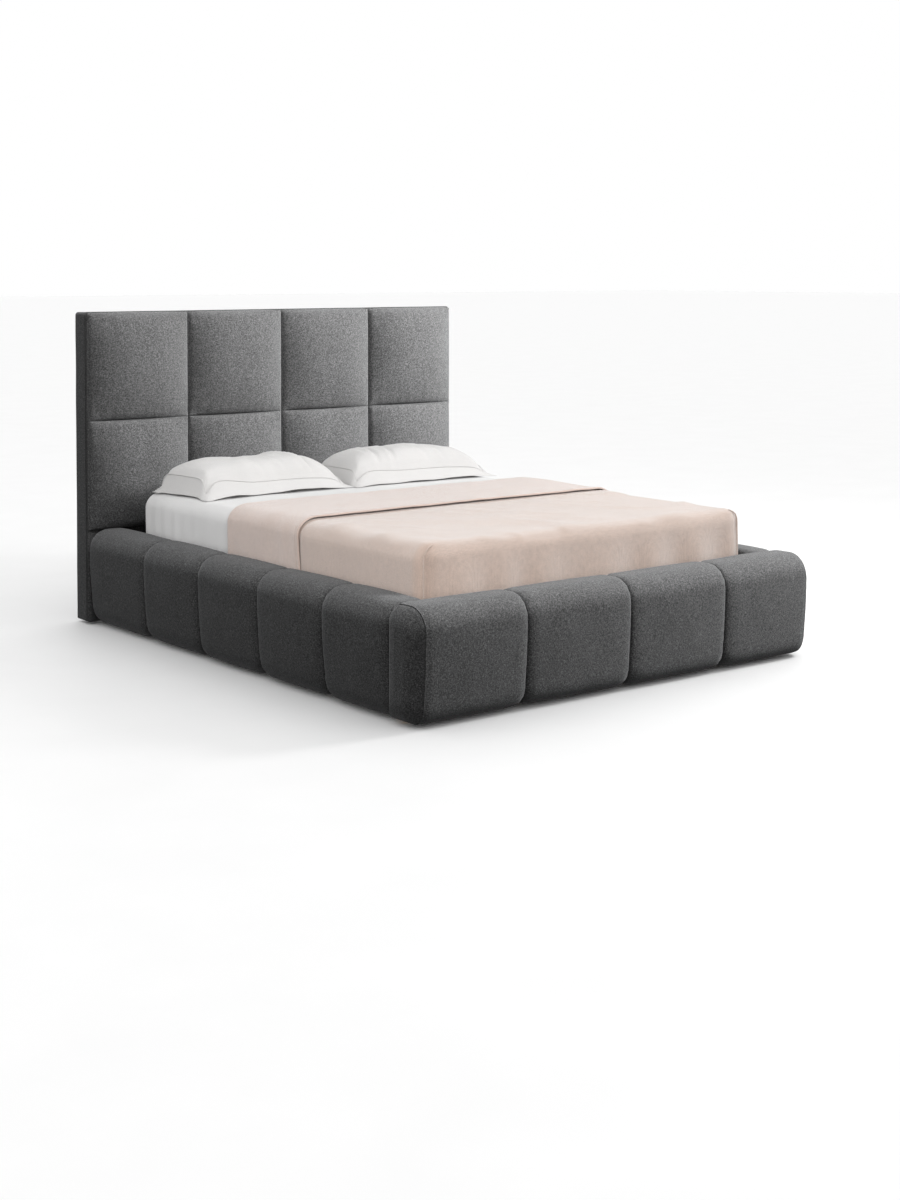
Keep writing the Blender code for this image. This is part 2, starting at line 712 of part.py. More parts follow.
make_headboard()
make_side_rails()
make_foot_rail()
make_box_parts()
pivots = four_bar()
make_base_frame(pivots)
for lift_side, lift_word in ((-1, "left"), (1, "right")):
    make_lift(lift_side, lift_word, pivots)
make_slats()
make_base_fittings()
make_mattress()
make_coverlet()
make_pillow("pillow_left", -(pillow_width + pillow_gap) / 2)
make_pillow("pillow_right", (pillow_width + pillow_gap) / 2)
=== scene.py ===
"""Looks of the upholstered headboard bed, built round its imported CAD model.

Metres, +Z up, the foot of the bed towards -Y. The padded rails and headboard, the mattress, the bedding
and the pillows are new pieces on the CAD bodies; boards, slats and steel parts keep their CAD meshes.
"""

import json
import math

import bpy
import bmesh
import numpy as np
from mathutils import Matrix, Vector


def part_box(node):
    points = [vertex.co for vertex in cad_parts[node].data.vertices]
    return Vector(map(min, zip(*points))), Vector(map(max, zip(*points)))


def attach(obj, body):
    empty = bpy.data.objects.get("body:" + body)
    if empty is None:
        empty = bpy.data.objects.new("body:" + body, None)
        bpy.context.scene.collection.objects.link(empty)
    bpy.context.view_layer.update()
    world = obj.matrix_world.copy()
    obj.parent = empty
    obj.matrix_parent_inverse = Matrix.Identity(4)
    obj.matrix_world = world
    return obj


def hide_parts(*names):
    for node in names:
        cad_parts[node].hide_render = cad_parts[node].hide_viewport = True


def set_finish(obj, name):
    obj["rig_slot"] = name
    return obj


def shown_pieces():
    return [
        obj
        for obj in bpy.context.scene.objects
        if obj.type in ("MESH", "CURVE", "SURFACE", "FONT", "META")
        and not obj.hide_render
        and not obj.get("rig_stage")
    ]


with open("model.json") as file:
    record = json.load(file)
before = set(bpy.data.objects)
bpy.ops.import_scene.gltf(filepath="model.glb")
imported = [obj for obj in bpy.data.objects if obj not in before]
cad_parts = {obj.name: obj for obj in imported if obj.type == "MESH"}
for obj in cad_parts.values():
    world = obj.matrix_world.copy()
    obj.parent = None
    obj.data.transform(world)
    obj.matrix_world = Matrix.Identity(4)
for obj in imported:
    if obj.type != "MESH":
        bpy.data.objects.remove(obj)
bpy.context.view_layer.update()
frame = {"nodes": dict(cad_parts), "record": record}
scene = bpy.context.scene

# ------------------------------ sizes
camera_place = (-4.599, -6.016, 1.546)
camera_yaw = 38.11              # degrees from the bed's length
camera_pitch = -2.0
camera_lens = 54.44             # mm, on a 36 mm sensor along the picture's long side
camera_shift = -0.2227
key_place = (3.0, -1.8, 2.5)
key_aim = (0.0, 0.2, 0.5)
headboard_key_place = (3.9, -1.5, 2.6)
headboard_key_aim = (0.0, 1.05, 0.9)
rail_key_place = (3.0, -3.0, 3.2)
fill_place = (-2.6, -4.2, 2.2)
fill_aim = (0.0, -0.6, 0.5)
top_place = (-0.9, -1.0, 4.4)
top_aim = (-0.3, -0.2, 0.3)

core_gap = 0.0003               # padding to the board it sits on
rail_low_reach = (0.055, 0.075)    # rounding under a rail: across it, and upright
rail_top_reach = (0.085, 0.085)    # outer rounding of its top
rail_belly = 0.012              # how far the outer face swells out
rail_crown = 0.0065             # how far a section's middle swells out past its ends
rail_crown_inset = 0.0015
rail_inner_radius = 0.035
rail_floor_gap = 0.004          # its padding stays this far above the floor
rail_stations = 47              # cross-sections along one padded section
seam_reach = 0.046              # how far from a rail seam the padding starts to fall
seam_depth = 0.012
corner_reach = 0.072            # upright corners at the foot of the bed
panel_reach = 0.018             # how far from a headboard pad's upright seams it starts to fall
panel_depth = 0.012
panel_belly = 0.060             # fall from the middle of a pad to its sides
panel_row_reach = 0.030         # the same three for the seam between the rows
panel_row_depth = 0.016
panel_row_belly = 0.034
panel_low_depth = 0.012         # low edge of the lower row
panel_top_reach = 0.032         # top edge of the upper row
panel_top_depth = 0.030
panel_room = 0.004              # least padding over the board
panel_lines = 57                # grid lines each way over a pad

mattress_inset = 0.008          # ticking inside the sheet
quilt_step = 0.13               # quilting under the mattress
sheet_edge = 0.065
sheet_end_edge = 0.038
sheet_thickness = 0.0016
sheet_tuck = 0.080              # fitted sheet under the mattress
cover_edge = 0.085              # rounding along the coverlet's long sides
cover_foot_edge = 0.060
cover_thickness = 0.005
cover_side = 0.811              # half width of the coverlet where it hangs
cover_fold = 0.006              # coverlet's head end inside its CAD solid's
cover_edge_radius = 0.0028      # folded edge beside each foot corner
band_hem = -0.255               # foot-side hem of the turned-down band
band_rise = 0.013               # its face over the coverlet's
band_thickness = 0.0028
band_roll = 0.0065              # radius of the fold at its head end
hem_groove = 0.005              # half width of the dip along the hem

pillow_flange = 0.034           # flange outside the seam, seen from above
pillow_seam_height = 0.056
pillow_crown = 0.162
pillow_play = 0.006             # room to turn the pillow in the space it has
pillow_grid = (101, 61)
pillow_pressure = 3.0
pillow_shrink = -0.03           # below zero the cloth grows
pillow_frames = 24
pillow_swell = 0.010            # the simulation moves no point further
flange_thickness = 0.0022
pillow_floor_gap = 0.0012       # its underside over the lowest point of its CAD solid
seam_bead = 0.0019              # radius of a seam or stitched line


# ------------------------------ noise and falloff
lattice_size = 32
lattice = np.random.default_rng(23).uniform(-1.0, 1.0, (lattice_size,) * 3)


def cloud(points, size, seed=0):
    """Smooth noise between -1 and 1 at points; its features are about `size` metres across."""
    p = np.asarray(points, float) / size + seed * 5.37
    cell = np.floor(p).astype(int)
    t = p - cell
    t = t * t * (3 - 2 * t)
    total = np.zeros(len(p))
    for corner in np.ndindex(2, 2, 2):
        wx, wy, wz = np.where(corner, t, 1 - t).T
        i, j, k = ((cell + corner) % lattice_size).T
        total += wx * wy * wz * lattice[i, j, k]
    return total


def roll(distance, reach, depth):
    """How far a padded face has fallen at a distance from its edge: a quarter of an ellipse."""
    t = np.clip(1 - np.asarray(distance, float) / reach, 0, 1)
    return depth * (1 - np.sqrt(1 - t * t))


def ease(value, start, stop):
    """0 before start, 1 after stop, smooth between."""
    t = np.clip((np.asarray(value, float) - start) / (stop - start), 0, 1)
    return t * t * (3 - 2 * t)


# ------------------------------ meshes
def surface(name, points, faces, material, angle=50.0):
    mesh = bpy.data.meshes.new(name)
    mesh.from_pydata([tuple(p) for p in np.asarray(points, float)], [], [tuple(f) for f in faces])
    mesh.update()
    mesh.materials.append(material)
    mesh.shade_smooth()
    mesh.set_sharp_from_angle(angle=math.radians(angle))
    piece = bpy.data.objects.new(name, mesh)
    scene.collection.objects.link(piece)
    return piece


def outward(piece):
    """Turns the faces of a closed mesh outwards."""
    bm = bmesh.new()
    bm.from_mesh(piece.data)
    bmesh.ops.recalc_face_normals(bm, faces=bm.faces)
    bm.to_mesh(piece.data)
    bm.free()
    return piece


def lattice_faces(rows, columns, around=False):
    """Quads over a grid of rows x columns points; `around` closes each row into a ring."""
    last = columns if around else columns - 1
    faces = []
    for r in range(rows - 1):
        for c in range(last):
            n = (c + 1) % columns
            faces.append((r * columns + c, r * columns + n, (r + 1) * columns + n, (r + 1) * columns + c))
    return faces


def rim_of(rows, columns):
    """Numbers of the points round the border of such a grid, in order."""
    last = (rows - 1) * columns
    return (list(range(columns)) + [r * columns + columns - 1 for r in range(1, rows)]
            + [last + c for c in range(columns - 2, -1, -1)] + [r * columns for r in range(rows - 2, 0, -1)])


def ring_faces(ring, next_ring):
    """Quads between two closed rings of point numbers."""
    turned, next_turned = ring[1:] + ring[:1], next_ring[1:] + next_ring[:1]
    return list(zip(ring, turned, next_turned, next_ring))


def cosine_steps(count, share):
    """Steps from 0 to 1, closer together near both ends by that share."""
    even = np.linspace(0, 1, count)
    return share * (1 - np.cos(math.pi * even)) / 2 + (1 - share) * even


def read_vectors(mesh, what="co"):
    flat = np.empty(len(mesh.vertices) * 3)
    mesh.vertices.foreach_get(what, flat)
    return flat.reshape(-1, 3)


def points_of(piece):
    return read_vectors(piece.data)


def normals_of(piece):
    return read_vectors(piece.data, "normal")


def set_points(piece, points):
    piece.data.vertices.foreach_set("co", np.asarray(points, float).ravel())
    piece.data.update()


def edge_lines(low, high, r_low, r_high, step, turns=6):
    """Places of the grid lines along one side of a rounded box, closer together on its edges."""
    turn = [math.tan(math.radians(45 * k / turns)) for k in range(turns, 0, -1)]
    count = max(2, round((high - r_high - low - r_low) / step))
    middle = np.linspace(low + r_low, high - r_high, count + 1)
    return np.array([low + r_low * (1 - t) for t in turn] + list(middle)
                    + [high - r_high * (1 - t) for t in reversed(turn)])


def rounded_box(name, low, high, radius, step, material, skip=(), extra=()):
    """A box with rounded edges on a fine grid. `radius` is one number, or six: low x, y, z, high x, y, z.
    `skip` names faces to leave open, and `extra` gives more grid lines along y."""
    radius = np.broadcast_to(np.asarray(radius, float), 6)
    low, high = np.array(low, float), np.array(high, float)
    r_low, r_high = radius[:3], radius[3:]
    lines = [edge_lines(low[a], high[a], r_low[a], r_high[a], step) for a in range(3)]
    lines[1] = np.unique(np.concatenate([lines[1], extra]))
    counts = [len(line) for line in lines]
    number = {}
    points = []
    faces = []

    def vertex(i, j, k):
        key = (i, j, k)
        if key not in number:
            number[key] = len(points)
            points.append((lines[0][i], lines[1][j], lines[2][k]))
        return number[key]

    for axis in range(3):
        first, second = [a for a in range(3) if a != axis]
        for end in (0, 1):
            if "xyz"[axis] + "-+"[end] in skip:
                continue
            index = [0, 0, 0]
            index[axis] = (counts[axis] - 1) * end
            for a in range(counts[first] - 1):
                for b in range(counts[second] - 1):
                    ring = []
                    for da, db in ((0, 0), (1, 0), (1, 1), (0, 1)):
                        index[first], index[second] = a + da, b + db
                        ring.append(vertex(*index))
                    if (axis == 1) == bool(end):
                        ring.reverse()
                    faces.append(ring)
    p = np.array(points)
    inner = np.clip(p, low + r_low, high - r_high)
    scale = np.where(p < inner, r_low, r_high)
    e = (p - inner) / scale
    length = np.linalg.norm(e, axis=1, keepdims=True)
    length[length < 1e-9] = 1.0
    return surface(name, inner + scale * e / length, faces, material)


def thicken(piece, thickness):
    """Gives cloth a thickness, inwards from its face."""
    modifier = piece.modifiers.new("thickness", "SOLIDIFY")
    modifier.thickness = thickness
    modifier.offset = -1.0
    modifier.use_even_offset = False


def bead(name, path, radius, material, closed=False):
    """A thin round bead along a path: a seam, a stitched line or a folded edge."""
    curve = bpy.data.curves.new(name, "CURVE")
    curve.dimensions = "3D"
    curve.bevel_depth = radius
    curve.bevel_resolution = 2
    spline = curve.splines.new("POLY")
    spline.points.add(len(path) - 1)
    for point, place in zip(spline.points, path):
        point.co = (*place, 1.0)
    spline.use_cyclic_u = closed
    line = bpy.data.objects.new(name + "_line", curve)
    scene.collection.objects.link(line)
    bpy.context.view_layer.update()
    mesh = bpy.data.meshes.new_from_object(line.evaluated_get(bpy.context.evaluated_depsgraph_get()))
    bpy.data.objects.remove(line)
    mesh.name = name
    mesh.materials.clear()
    mesh.materials.append(material)
    mesh.shade_smooth()
    piece = bpy.data.objects.new(name, mesh)
    scene.collection.objects.link(piece)
    return piece


# ------------------------------ materials
class Nodes:
    """A short way to write a node tree: most calls add a node and return its main output."""

    def __init__(self, name):
        self.material = bpy.data.materials.new(name)
        self.material.use_nodes = True
        self.tree = self.material.node_tree
        self.shader = self.tree.nodes["Principled BSDF"]
        self.place = self.tree.nodes.new("ShaderNodeTexCoord").outputs["Object"]

    def link(self, value, socket):
        if isinstance(value, bpy.types.NodeSocket):
            self.tree.links.new(value, socket)
        else:
            socket.default_value = value

    def add(self, kind, **inputs):
        node = self.tree.nodes.new("ShaderNode" + kind)
        for name, value in inputs.items():
            self.link(value, node.inputs[name.replace("_", " ")])
        return node

    def stretch(self, scale):
        return self.add("Mapping", Vector=self.place, Scale=scale).outputs["Vector"]

    def noise(self, scale, detail=2.0, roughness=0.5, vector=None, distortion=0.0):
        return self.add("TexNoise", Vector=vector or self.place, Scale=scale, Detail=detail,
                        Roughness=roughness, Distortion=distortion).outputs["Fac"]

    def wave(self, scale, axis):
        node = self.add("TexWave", Vector=self.place, Scale=scale, Distortion=0.6, Detail=1.0,
                        Detail_Scale=0.4)
        node.bands_direction = axis
        return node.outputs["Fac"]

    def math(self, kind, a, b=0.0):
        node = self.tree.nodes.new("ShaderNodeMath")
        node.operation = kind
        self.link(a, node.inputs[0])
        self.link(b, node.inputs[1])
        return node.outputs[0]

    def blend(self, a, b, share):
        """The two heights added, the first with that share."""
        return self.math("ADD", self.math("MULTIPLY", a, share), self.math("MULTIPLY", b, 1 - share))

    def ramp(self, value, *stops):
        node = self.tree.nodes.new("ShaderNodeValToRGB")
        self.link(value, node.inputs["Fac"])
        points = node.color_ramp.elements
        while len(points) < len(stops):
            points.new(0.5)
        for point, (place, color) in zip(points, stops):
            point.position = place
            point.color = (*color, 1.0)
        return node.outputs["Color"]

    def greys(self, value, *stops):
        return self.ramp(value, *((place, (grey_level,) * 3) for place, grey_level in stops))

    def multiply(self, a, b):
        node = self.tree.nodes.new("ShaderNodeMix")
        node.data_type = "RGBA"
        node.blend_type = "MULTIPLY"
        self.link(1.0, node.inputs["Factor"])
        self.link(a, node.inputs["A"])
        self.link(b, node.inputs["B"])
        return node.outputs["Result"]

    def bump(self, height, distance, strength, under=None):
        node = self.add("Bump", Height=height, Distance=distance, Strength=strength)
        if under is not None:
            self.link(under, node.inputs["Normal"])
        return node.outputs["Normal"]

    def finish(self, color, roughness, normal, metallic=0.0, **sockets):
        self.link(color, self.shader.inputs["Base Color"])
        self.link(roughness, self.shader.inputs["Roughness"])
        self.link(normal, self.shader.inputs["Normal"])
        self.shader.inputs["Metallic"].default_value = metallic
        for name, value in sockets.items():
            self.shader.inputs[name.replace("_", " ")].default_value = value
        return self.material


def scaled(color, factor):
    return tuple(min(1.0, c * factor) for c in color)


def weave(nodes, threads):
    """Height of a plain weave on faces of any direction; more threads make it finer."""
    waves = [nodes.wave(threads / 2, axis) for axis in "XYZ"]
    return nodes.math("ADD", nodes.math("ADD", waves[0], waves[1]), waves[2])


def melange(name, color, contrast=0.45):
    """Thick melange upholstery cloth: light and dark yarns mixed, with a fuzzy face."""
    n = Nodes(name)
    yarn = n.noise(330, 2.5, 0.65)
    flecks = n.noise(170, 2.0, 0.6)
    patches = n.noise(6, 3.0, 0.55)
    mixed = n.blend(yarn, flecks, 0.6)
    base = n.ramp(mixed, (0.36, scaled(color, 1 - contrast)), (0.50, scaled(color, 0.95)),
                  (0.64, scaled(color, 1 + 1.9 * contrast)))
    worn = n.ramp(patches, (0.3, (0.94, 0.94, 0.94)), (0.7, (1.04, 1.04, 1.045)))
    relief = n.bump(mixed, 0.0010, 0.7)
    normal = n.bump(weave(n, 640), 0.0003, 0.4, under=relief)
    rough = n.greys(yarn, (0.3, 0.82), (0.7, 0.98))
    return n.finish(n.multiply(base, worn), rough, normal, Sheen_Weight=0.10, Sheen_Roughness=0.4,
                    Sheen_Tint=(0.96, 0.98, 1.0, 1.0), Specular_IOR_Level=0.10)


def linen(name, color, threads=520, contrast=0.09, soft=0.3, bumpy=0.0006):
    """Flat woven cloth with slubs: bedding, ticking and webbing."""
    n = Nodes(name)
    slubs = n.blend(n.noise(42, 3.0, 0.6, vector=n.stretch((1.0, 9.0, 1.0))),
                    n.noise(42, 3.0, 0.6, vector=n.stretch((9.0, 1.0, 9.0))), 0.5)
    fine = n.noise(420, 2.0, 0.6)
    mixed = n.blend(slubs, fine, 0.6)
    base = n.ramp(mixed, (0.34, scaled(color, 1 - contrast)), (0.66, scaled(color, 1 + contrast * 0.6)))
    clouds = n.greys(n.noise(5, 3.0, 0.5), (0.3, 0.95), (0.7, 1.0))
    relief = n.bump(mixed, bumpy, 0.6)
    normal = n.bump(weave(n, threads), bumpy * 0.6, 0.5, under=relief)
    rough = n.greys(fine, (0.3, 0.78), (0.7, 0.95))
    return n.finish(n.multiply(base, clouds), rough, normal, Sheen_Weight=soft, Sheen_Roughness=0.5,
                    Specular_IOR_Level=0.25)


def wood(name, light, dark, axis, rings=18.0):
    """Planed board with its grain along an axis."""
    n = Nodes(name)
    along = {"X": (0.06, 1.0, 1.0), "Y": (1.0, 0.06, 1.0), "Z": (1.0, 1.0, 0.06)}[axis]
    stretched = n.stretch(along)
    grain = n.noise(rings, 5.0, 0.6, vector=stretched, distortion=1.6)
    pores = n.noise(260, 2.0, 0.6, vector=stretched)
    between = tuple((a + b) / 2 for a, b in zip(light, dark))
    base = n.ramp(grain, (0.32, dark), (0.5, between), (0.66, light))
    fleck = n.greys(pores, (0.35, 0.82), (0.55, 1.0))
    normal = n.bump(n.math("ADD", grain, n.math("MULTIPLY", pores, 0.6)), 0.0006, 0.5)
    rough = n.greys(grain, (0.3, 0.62), (0.7, 0.44))
    return n.finish(n.multiply(base, fleck), rough, normal)


def metal(name, color, roughness, metallic, spread=0.12, grain=0.0002):
    """Painted or bare steel with fine texture and worn, uneven gloss."""
    n = Nodes(name)
    orange = n.noise(900, 2.0, 0.5)
    wear = n.noise(28, 4.0, 0.62)
    base = n.ramp(wear, (0.35, scaled(color, 1 - spread)), (0.62, color),
                  (0.8, scaled(color, 1 + spread * 2)))
    rough = n.greys(wear, (0.3, roughness * 1.25), (0.75, roughness * 0.8))
    return n.finish(base, rough, n.bump(orange, grain, 0.5), metallic)


def board(name, color):
    """Melamine-faced panel: near plain, with a fine print and a faint orange peel."""
    n = Nodes(name)
    streaks = n.noise(14, 4.0, 0.6, vector=n.stretch((1.0, 0.08, 1.0)))
    base = n.ramp(streaks, (0.3, scaled(color, 0.92)), (0.7, scaled(color, 1.05)))
    return n.finish(base, n.greys(streaks, (0.3, 0.45), (0.7, 0.6)), n.bump(n.noise(500, 2.0), 0.0002, 0.4))


grey = melange("grey_melange", (0.030, 0.030, 0.0302), contrast=0.72)
grey_seam = melange("grey_seam_cord", (0.022, 0.022, 0.022), contrast=0.3)
white = linen("white_cotton_cloth", (0.76, 0.755, 0.75), contrast=0.035)
# The pillows are the same white cotton as the sheet, painted darker to hold down the light they catch:
# painted shade.
pillow_cloth_darkened = linen("pillow_cotton_darkened", (0.70, 0.69, 0.68), contrast=0.04)
coarse = {"threads": 420, "contrast": 0.24, "soft": 1.0, "bumpy": 0.0014}
cover_cloth = linen("coverlet_linen", (0.61, 0.468, 0.392), **coarse)
# The band is the coverlet's own linen folded back, painted lighter than the coverlet to brighten the band:
# painted light.
band_cloth_lightened = linen("band_linen_lightened", (0.67, 0.525, 0.455), **coarse)
ticking = linen("mattress_ticking", (0.74, 0.72, 0.69), contrast=0.06, bumpy=0.0012)
cad_looks = {
    "timber": {axis: wood("timber_" + axis.lower(), (0.56, 0.38, 0.22), (0.40, 0.25, 0.13), axis)
               for axis in "XY"},
    "birch": wood("birch_slats", (0.76, 0.60, 0.40), (0.62, 0.45, 0.27), "X", rings=14.0),
    "panel_board": board("floor_panel_board", (0.60, 0.58, 0.55)),
    "grey_steel": metal("grey_coated_steel", (0.13, 0.13, 0.14), 0.45, 0.35),
    "zinc_steel": metal("zinc_plated_steel", (0.60, 0.60, 0.62), 0.34, 1.0),
    "black_steel": metal("black_lacquered_steel", (0.015, 0.015, 0.016), 0.28, 0.3),
    "chrome": metal("chrome_plate", (0.75, 0.75, 0.76), 0.10, 1.0, spread=0.04, grain=0.00004),
    "black_plastic": metal("black_moulded_plastic", (0.02, 0.02, 0.021), 0.55, 0.0, grain=0.0004),
    "webbing": linen("webbing_cloth", (0.06, 0.06, 0.065), threads=900, contrast=0.3, bumpy=0.0014),
}


# ------------------------------ padded rails
def section(u0, u1, notch, v0, v1, notch_top, inner, low, high, belly):
    """Outline of a padded rail: points (u, v) and how soft each is. It goes from the outside low corner
    under the rail, up round the core, over the top and down the outside."""
    points = []
    soft = []

    def put(u, v, weight):
        points.append((u, v))
        soft.append(weight)

    (low_u, low_v), (high_u, high_v) = low, high
    for k in range(9):
        a = math.radians(180 + 90 * k / 8)
        put(u0 + belly + low_u + low_u * math.cos(a), v0 + low_v + low_v * math.sin(a), 1.0)
    start = u0 + belly + low_u
    for k in (1, 2, 3):
        put(start + (notch - start) * k / 3, v0, 0.0)
    for k in (1, 2, 3, 4):
        put(notch, v0 + (notch_top - v0) * k / 4, 0.0)
    put(u1, notch_top, 0.0)
    for k in range(7):
        a = math.radians(90 * k / 6)
        put(u1 - inner + inner * math.cos(a), v1 - inner + inner * math.sin(a), 0.6)
    for k in (1, 2):
        put(u1 - inner + (u0 + high_u - u1 + inner) * k / 3, v1, 1.0)
    for k in range(13):
        a = math.radians(90 + 90 * k / 12)
        put(u0 + high_u + high_u * math.cos(a), v1 - high_v + high_v * math.sin(a), 1.0)
    face = v1 - high_v - v0 - low_v
    for k in range(1, 12):
        share = k / 12
        put(u0 + belly * share ** 1.8, v1 - high_v - face * share, 1.0)
    return np.array(points), np.array(soft)


def padded_falls(depth):
    return (seam_reach, depth), (0.8 * seam_reach, 0.5 * depth), (1.6 * seam_reach, 0.8 * depth), (1, 0)


# how far from its end a section starts to fall, and how deep: outside, top, underside, inside
end_falls = {
    "seam": padded_falls(seam_depth),
    "butt": padded_falls(seam_depth * 0.8),
    "corner": ((corner_reach, corner_reach - 0.002), (0.070, 0.070), (0.055, 0.068), (0.022, 0.050)),
}


def rail_sections(stations, ends, core_ends, width, notch, notch_top, floor, top):
    """Cross-sections of a padded rail: its station, outline, softness and distance to the nearer end."""
    start, stop = stations[0], stations[-1]
    rings = []
    for s in stations:
        gaps = (s - start, stop - s)
        falls = np.zeros(4)
        for gap, kind in zip(gaps, ends):
            falls += [float(roll(gap, reach, depth)) for reach, depth in end_falls[kind]]
        outer_fall, top_fall, low_fall, inner_fall = falls
        middle = math.sin(math.pi * min(max((s - start) / (stop - start), 0), 1))
        crown = rail_crown * middle ** 0.8 - rail_crown_inset
        u0, u1 = outer_fall - crown, width - inner_fall
        v0, v1 = floor + low_fall, top - top_fall + 0.45 * crown
        tall = v1 - v0
        fit = min(1.0, (u1 - u0) / 0.15, tall / 0.26)
        on_core = core_ends[0] < s < core_ends[1]
        points, soft = section(u0, u1, min(notch, u1) if on_core else u1, v0, v1,
                               notch_top if on_core else v0 + 0.7 * tall, fit * rail_inner_radius,
                               [fit * r for r in rail_low_reach], [fit * r for r in rail_top_reach],
                               fit * rail_belly)
        rings.append((s, points, soft, min(gaps)))
    # at a core's end the section changes from notched to full in one place
    ordered = rings[:1]
    for before, ring in zip(rings, rings[1:]):
        for edge in core_ends:
            if before[0] < edge < ring[0]:
                ordered += [(edge, *before[1:]), (edge, *ring[1:])]
        ordered.append(ring)
    return ordered


def rail_pad(node, along, outward_sign, core, ends):
    """One padded rail section in the space of a CAD pad. `along` is the axis it runs on, `ends` says what
    is at its low and high end: "seam", "butt" or "corner"."""
    low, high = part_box(node)
    core_low, core_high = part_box(core)
    across = 1 - along
    width = high[across] - low[across]
    outside = high[across] if outward_sign > 0 else low[across]
    core_face = core_high[across] if outward_sign > 0 else core_low[across]
    floor, top = low.z, high.z
    length = high[along] - low[along]
    stations = [low[along] + length * s for s in cosine_steps(rail_stations, 0.75)]
    rings = rail_sections(stations, ends, (core_low[along] - core_gap, core_high[along] + core_gap), width,
                          abs(outside - core_face) - core_gap, core_high.z + core_gap, floor, top)

    def place(s, u, v):
        spot = np.empty((len(u), 3))
        spot[:, along] = s
        spot[:, across] = outside - outward_sign * u
        spot[:, 2] = v
        return spot

    placed = []
    for s, points, soft, gap in rings:
        step = np.roll(points, -1, axis=0) - np.roll(points, 1, axis=0)
        normal = np.column_stack([step[:, 1], -step[:, 0]])
        normal /= np.maximum(np.linalg.norm(normal, axis=1, keepdims=True), 1e-9)
        spots = place(s, points[:, 0], points[:, 1])
        run = np.cumsum(np.linalg.norm(np.diff(points, axis=0, prepend=points[:1]), axis=1))
        pucker = math.exp(-gap / 0.028) * np.sin(run * 2 * math.pi / 0.036 + 2.5 * cloud(spots, 0.2, 3))
        amount = 0.0022 * cloud(spots, 0.16, 1) + 0.0009 * cloud(spots, 0.06, 2) + 0.0011 * pucker
        moved = points + normal * (amount * soft)[:, None]
        placed.append(place(s, moved[:, 0], np.maximum(moved[:, 1], rail_floor_gap)))

    count = len(rings[0][1])
    points = list(np.concatenate(placed))
    faces = lattice_faces(len(rings), count, around=True)
    # ends: rings drawn in towards a point that the whole outline can see
    for end, kind in ((0, ends[0]), (len(rings) - 1, ends[1])):
        ring = np.array(points[end * count:(end + 1) * count])
        centre = (ring.min(axis=0) + ring.max(axis=0)) / 2
        if kind != "corner":
            centre[across] = outside - outward_sign * 0.4 * width
            centre[2] = floor + 0.8 * (top - floor)
        previous = list(range(end * count, (end + 1) * count))
        for shrink in (0.8, 0.55, 0.3, 0.1):
            fresh = list(range(len(points), len(points) + count))
            points.extend(centre + (ring - centre) * shrink)
            faces += ring_faces(previous, fresh)
            previous = fresh
        faces.append(tuple(previous))
    piece = outward(surface(node + "_cover", points, faces, grey, angle=75))
    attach(piece, "bed_frame")
    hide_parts(node)
    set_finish(piece, "grey_fabric")


def make_rails():
    for side, word in ((-1, "left"), (1, "right")):
        for i in range(1, 6):
            ends = ("seam", "butt" if i == 5 else "seam")
            rail_pad(f"side_rail_pad_{word}_{i}", 1, side, f"side_rail_core_{word}", ends)
    for i in range(1, 5):
        ends = ("corner" if i == 1 else "seam", "corner" if i == 4 else "seam")
        rail_pad(f"foot_rail_pad_{i}", 0, -1, "foot_rail_core", ends)


# ------------------------------ headboard
def headboard_pad(node, is_top):
    """One padded headboard panel: a soft front on a fine grid, closed straight back to the board."""
    low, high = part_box(node)
    width, height = high.x - low.x, high.z - low.z
    steps = cosine_steps(panel_lines, 0.55)
    gx, gz = np.meshgrid(width * steps, height * steps, indexing="ij")
    from_side = np.minimum(gx, width - gx)
    from_row = np.minimum(gz, height - gz)
    side_fall = roll(from_side, panel_reach, panel_depth)
    side_fall += panel_belly * np.abs(2 * gx / width - 1) ** 2.6
    row_fall = roll(gz, panel_row_reach, panel_row_depth if is_top else panel_low_depth)
    if is_top:
        row_fall += roll(height - gz, panel_top_reach, panel_top_depth)
    else:
        row_fall += roll(height - gz, panel_row_reach, panel_row_depth)
    row_fall += panel_row_belly * np.abs(2 * gz / height - 1) ** 2.5
    # the two falls meet softly and never reach the board
    room = high.y - low.y - panel_room
    fall = room * (1 - (1 - side_fall / room) * (1 - row_fall / room))
    spots = np.column_stack([(low.x + gx).ravel(), (low.y + fall).ravel(), (low.z + gz).ravel()])
    from_side, from_row = from_side.ravel(), from_row.ravel()
    along_x = np.exp(-from_side / 0.045) * np.sin(spots[:, 2] * 2 * math.pi / 0.052
                                                  + 3 * cloud(spots, 0.25, 5))
    along_z = np.exp(-from_row / 0.04) * np.sin(spots[:, 0] * 2 * math.pi / 0.048
                                                + 3 * cloud(spots, 0.25, 6))
    ripple = 0.0012 * (along_x + along_z) + 0.0022 * cloud(spots, 0.2, 7) + 0.0008 * cloud(spots, 0.07, 8)
    spots[:, 1] += ripple * ease(np.minimum(from_side, from_row), 0.0, 0.02)
    if is_top:
        near_seam = np.exp(-from_side / 0.016)
        spots[:, 2] -= 0.006 * near_seam * ease(spots[:, 2], high.z - 0.05, high.z)
    rim = rim_of(panel_lines, panel_lines)
    behind = list(range(len(spots), len(spots) + len(rim)))
    points = list(spots) + [(spots[i][0], high.y, spots[i][2]) for i in rim]
    faces = lattice_faces(panel_lines, panel_lines) + ring_faces(rim, behind) + [tuple(behind)]
    piece = outward(surface(node + "_cover", points, faces, grey, angle=60))
    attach(piece, "bed_frame")
    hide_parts(node)
    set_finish(piece, "grey_fabric")


